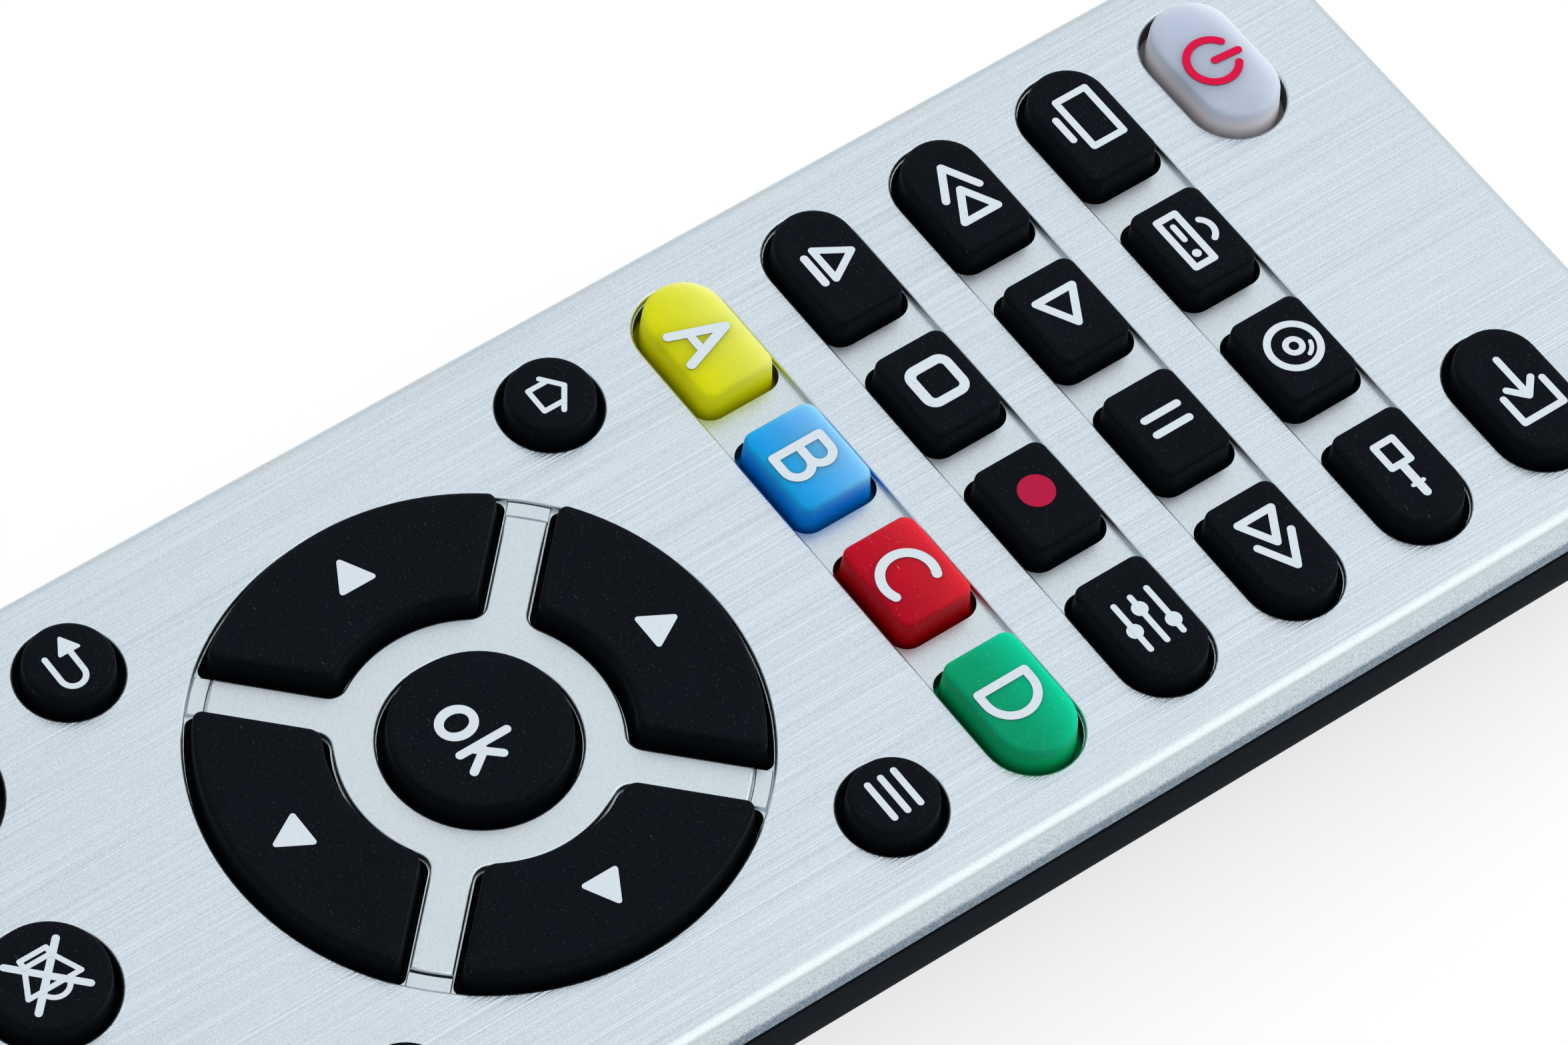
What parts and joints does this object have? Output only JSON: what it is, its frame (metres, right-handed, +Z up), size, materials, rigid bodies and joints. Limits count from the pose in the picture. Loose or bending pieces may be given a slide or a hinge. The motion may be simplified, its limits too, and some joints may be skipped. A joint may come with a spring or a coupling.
{
  "type": "universal remote control",
  "caption": "Slim hand-held remote control: brushed silver upper shell with sprung silicone keys, round direction pad and rockers, black lower shell, sliding battery door.",
  "frame": {"origin": "middle of the remote's outline, on the flat base it rests on", "axes": "+Y towards the end with the infrared window, +Z up through the keys, +X to the right when the keys are read"},
  "size_m": [0.05, 0.2, 0.0202],
  "materials": {
    "silver_shell": "brushed metallic paint",
    "black_shell": "fine moulded texture",
    "black_silicone": "matte silicone",
    "yellow_silicone": "matte silicone",
    "blue_silicone": "matte silicone",
    "red_silicone": "matte silicone",
    "green_silicone": "matte silicone",
    "clear_silicone": "translucent satin silicone",
    "keypad_silicone": "matte silicone",
    "board": "solder mask",
    "carbon": "printed carbon",
    "chip": "moulded epoxy",
    "metal_can": "drawn can",
    "capacitor_sleeve": "shrink sleeve",
    "ir_diode": "clear tinted epoxy",
    "ir_window": "dark infrared window",
    "indicator": "small diode",
    "cell": "plain printed sleeve",
    "contact_metal": "nickel plate",
    "screw_steel": "zinc plate"
  },
  "bodies": {
    "case": {"top_case": "silver_shell", "bottom_case": "black_shell", "keypad_sheet": "keypad_silicone", "circuit_board": "board", "contact_pads": "carbon", "controller_chip": "chip", "crystal": "metal_can", "capacitor": "capacitor_sleeve", "ir_led": "ir_diode", "ir_window": "ir_window", "indicator_led": "indicator", "battery_cells": "cell", "battery_contacts": "contact_metal", "battery_springs": "contact_metal", "case_screws": "screw_steel"},
    "key_power": {"key_power": "clear_silicone"},
    "key_input": {"key_input": "black_silicone"},
    "key_a": {"key_a": "yellow_silicone"},
    "key_b": {"key_b": "blue_silicone"},
    "key_c": {"key_c": "red_silicone"},
    "key_d": {"key_d": "green_silicone"},
    "key_eject": {"key_eject": "black_silicone"},
    "key_stop": {"key_stop": "black_silicone"},
    "key_record": {"key_record": "black_silicone"},
    "key_setup": {"key_setup": "black_silicone"},
    "key_rewind": {"key_rewind": "black_silicone"},
    "key_play": {"key_play": "black_silicone"},
    "key_pause": {"key_pause": "black_silicone"},
    "key_forward": {"key_forward": "black_silicone"},
    "key_device_1": {"key_device_1": "black_silicone"},
    "key_device_2": {"key_device_2": "black_silicone"},
    "key_device_3": {"key_device_3": "black_silicone"},
    "key_device_4": {"key_device_4": "black_silicone"},
    "key_1": {"key_1": "black_silicone"},
    "key_2": {"key_2": "black_silicone"},
    "key_3": {"key_3": "black_silicone"},
    "key_4": {"key_4": "black_silicone"},
    "key_5": {"key_5": "black_silicone"},
    "key_6": {"key_6": "black_silicone"},
    "key_7": {"key_7": "black_silicone"},
    "key_8": {"key_8": "black_silicone"},
    "key_9": {"key_9": "black_silicone"},
    "key_dash": {"key_dash": "black_silicone"},
    "key_0": {"key_0": "black_silicone"},
    "key_enter": {"key_enter": "black_silicone"},
    "key_home": {"key_home": "black_silicone"},
    "key_menu": {"key_menu": "black_silicone"},
    "key_back": {"key_back": "black_silicone"},
    "key_info": {"key_info": "black_silicone"},
    "key_ok": {"key_ok": "black_silicone"},
    "key_mute": {"key_mute": "black_silicone"},
    "key_last": {"key_last": "black_silicone"},
    "key_right": {"key_right": "black_silicone"},
    "key_up": {"key_up": "black_silicone"},
    "key_left": {"key_left": "black_silicone"},
    "key_down": {"key_down": "black_silicone"},
    "key_volume": {"key_volume": "black_silicone"},
    "key_channel": {"key_channel": "black_silicone"},
    "battery_door": {"battery_door": "black_shell"}
  },
  "joints": [
    {"name": "battery_door_slide", "type": "slide", "parent": "case", "child": "battery_door", "axis": [0, -1, 0], "range_m": [0, 0.072]},
    {"name": "key_volume_rock", "type": "hinge", "parent": "case", "child": "key_volume", "pos_m": [-0.016, -0.0186, 0.0177], "axis": [1, 0, 0], "range_deg": [-3.5, 3.5], "stiffness_Nm_per_rad": 0.2},
    {"name": "key_channel_rock", "type": "hinge", "parent": "case", "child": "key_channel", "pos_m": [0.016, -0.0186, 0.0177], "axis": [1, 0, 0], "range_deg": [-3.5, 3.5], "stiffness_Nm_per_rad": 0.2},
    {"name": "key_power_press", "type": "slide", "parent": "case", "child": "key_power", "axis": [0, 0, -1], "range_m": [0, 0.0009], "stiffness_N_per_m": 1200},
    {"name": "key_input_press", "type": "slide", "parent": "case", "child": "key_input", "axis": [0, 0, -1], "range_m": [0, 0.0009], "stiffness_N_per_m": 1200},
    {"name": "key_right_press", "type": "slide", "parent": "case", "child": "key_right", "axis": [0, 0, -1], "range_m": [0, 0.0009], "stiffness_N_per_m": 1200},
    {"name": "key_up_press", "type": "slide", "parent": "case", "child": "key_up", "axis": [0, 0, -1], "range_m": [0, 0.0009], "stiffness_N_per_m": 1200},
    {"name": "key_left_press", "type": "slide", "parent": "case", "child": "key_left", "axis": [0, 0, -1], "range_m": [0, 0.0009], "stiffness_N_per_m": 1200},
    {"name": "key_down_press", "type": "slide", "parent": "case", "child": "key_down", "axis": [0, 0, -1], "range_m": [0, 0.0009], "stiffness_N_per_m": 1200},
    {"name": "key_home_press", "type": "slide", "parent": "case", "child": "key_home", "axis": [0, 0, -1], "range_m": [0, 0.0009], "stiffness_N_per_m": 1200},
    {"name": "key_menu_press", "type": "slide", "parent": "case", "child": "key_menu", "axis": [0, 0, -1], "range_m": [0, 0.0009], "stiffness_N_per_m": 1200},
    {"name": "key_back_press", "type": "slide", "parent": "case", "child": "key_back", "axis": [0, 0, -1], "range_m": [0, 0.0009], "stiffness_N_per_m": 1200},
    {"name": "key_info_press", "type": "slide", "parent": "case", "child": "key_info", "axis": [0, 0, -1], "range_m": [0, 0.0009], "stiffness_N_per_m": 1200},
    {"name": "key_ok_press", "type": "slide", "parent": "case", "child": "key_ok", "axis": [0, 0, -1], "range_m": [0, 0.0009], "stiffness_N_per_m": 1200},
    {"name": "key_mute_press", "type": "slide", "parent": "case", "child": "key_mute", "axis": [0, 0, -1], "range_m": [0, 0.0009], "stiffness_N_per_m": 1200},
    {"name": "key_last_press", "type": "slide", "parent": "case", "child": "key_last", "axis": [0, 0, -1], "range_m": [0, 0.0009], "stiffness_N_per_m": 1200},
    {"name": "key_a_press", "type": "slide", "parent": "case", "child": "key_a", "axis": [0, 0, -1], "range_m": [0, 0.0009], "stiffness_N_per_m": 1200},
    {"name": "key_b_press", "type": "slide", "parent": "case", "child": "key_b", "axis": [0, 0, -1], "range_m": [0, 0.0009], "stiffness_N_per_m": 1200},
    {"name": "key_c_press", "type": "slide", "parent": "case", "child": "key_c", "axis": [0, 0, -1], "range_m": [0, 0.0009], "stiffness_N_per_m": 1200},
    {"name": "key_d_press", "type": "slide", "parent": "case", "child": "key_d", "axis": [0, 0, -1], "range_m": [0, 0.0009], "stiffness_N_per_m": 1200},
    {"name": "key_eject_press", "type": "slide", "parent": "case", "child": "key_eject", "axis": [0, 0, -1], "range_m": [0, 0.0009], "stiffness_N_per_m": 1200},
    {"name": "key_stop_press", "type": "slide", "parent": "case", "child": "key_stop", "axis": [0, 0, -1], "range_m": [0, 0.0009], "stiffness_N_per_m": 1200},
    {"name": "key_record_press", "type": "slide", "parent": "case", "child": "key_record", "axis": [0, 0, -1], "range_m": [0, 0.0009], "stiffness_N_per_m": 1200},
    {"name": "key_setup_press", "type": "slide", "parent": "case", "child": "key_setup", "axis": [0, 0, -1], "range_m": [0, 0.0009], "stiffness_N_per_m": 1200},
    {"name": "key_rewind_press", "type": "slide", "parent": "case", "child": "key_rewind", "axis": [0, 0, -1], "range_m": [0, 0.0009], "stiffness_N_per_m": 1200},
    {"name": "key_play_press", "type": "slide", "parent": "case", "child": "key_play", "axis": [0, 0, -1], "range_m": [0, 0.0009], "stiffness_N_per_m": 1200},
    {"name": "key_pause_press", "type": "slide", "parent": "case", "child": "key_pause", "axis": [0, 0, -1], "range_m": [0, 0.0009], "stiffness_N_per_m": 1200},
    {"name": "key_forward_press", "type": "slide", "parent": "case", "child": "key_forward", "axis": [0, 0, -1], "range_m": [0, 0.0009], "stiffness_N_per_m": 1200},
    {"name": "key_device_1_press", "type": "slide", "parent": "case", "child": "key_device_1", "axis": [0, 0, -1], "range_m": [0, 0.0009], "stiffness_N_per_m": 1200},
    {"name": "key_device_2_press", "type": "slide", "parent": "case", "child": "key_device_2", "axis": [0, 0, -1], "range_m": [0, 0.0009], "stiffness_N_per_m": 1200},
    {"name": "key_device_3_press", "type": "slide", "parent": "case", "child": "key_device_3", "axis": [0, 0, -1], "range_m": [0, 0.0009], "stiffness_N_per_m": 1200},
    {"name": "key_device_4_press", "type": "slide", "parent": "case", "child": "key_device_4", "axis": [0, 0, -1], "range_m": [0, 0.0009], "stiffness_N_per_m": 1200},
    {"name": "key_1_press", "type": "slide", "parent": "case", "child": "key_1", "axis": [0, 0, -1], "range_m": [0, 0.0009], "stiffness_N_per_m": 1200},
    {"name": "key_2_press", "type": "slide", "parent": "case", "child": "key_2", "axis": [0, 0, -1], "range_m": [0, 0.0009], "stiffness_N_per_m": 1200},
    {"name": "key_3_press", "type": "slide", "parent": "case", "child": "key_3", "axis": [0, 0, -1], "range_m": [0, 0.0009], "stiffness_N_per_m": 1200},
    {"name": "key_4_press", "type": "slide", "parent": "case", "child": "key_4", "axis": [0, 0, -1], "range_m": [0, 0.0009], "stiffness_N_per_m": 1200},
    {"name": "key_5_press", "type": "slide", "parent": "case", "child": "key_5", "axis": [0, 0, -1], "range_m": [0, 0.0009], "stiffness_N_per_m": 1200},
    {"name": "key_6_press", "type": "slide", "parent": "case", "child": "key_6", "axis": [0, 0, -1], "range_m": [0, 0.0009], "stiffness_N_per_m": 1200},
    {"name": "key_7_press", "type": "slide", "parent": "case", "child": "key_7", "axis": [0, 0, -1], "range_m": [0, 0.0009], "stiffness_N_per_m": 1200},
    {"name": "key_8_press", "type": "slide", "parent": "case", "child": "key_8", "axis": [0, 0, -1], "range_m": [0, 0.0009], "stiffness_N_per_m": 1200},
    {"name": "key_9_press", "type": "slide", "parent": "case", "child": "key_9", "axis": [0, 0, -1], "range_m": [0, 0.0009], "stiffness_N_per_m": 1200},
    {"name": "key_dash_press", "type": "slide", "parent": "case", "child": "key_dash", "axis": [0, 0, -1], "range_m": [0, 0.0009], "stiffness_N_per_m": 1200},
    {"name": "key_0_press", "type": "slide", "parent": "case", "child": "key_0", "axis": [0, 0, -1], "range_m": [0, 0.0009], "stiffness_N_per_m": 1200},
    {"name": "key_enter_press", "type": "slide", "parent": "case", "child": "key_enter", "axis": [0, 0, -1], "range_m": [0, 0.0009], "stiffness_N_per_m": 1200}
  ]
}
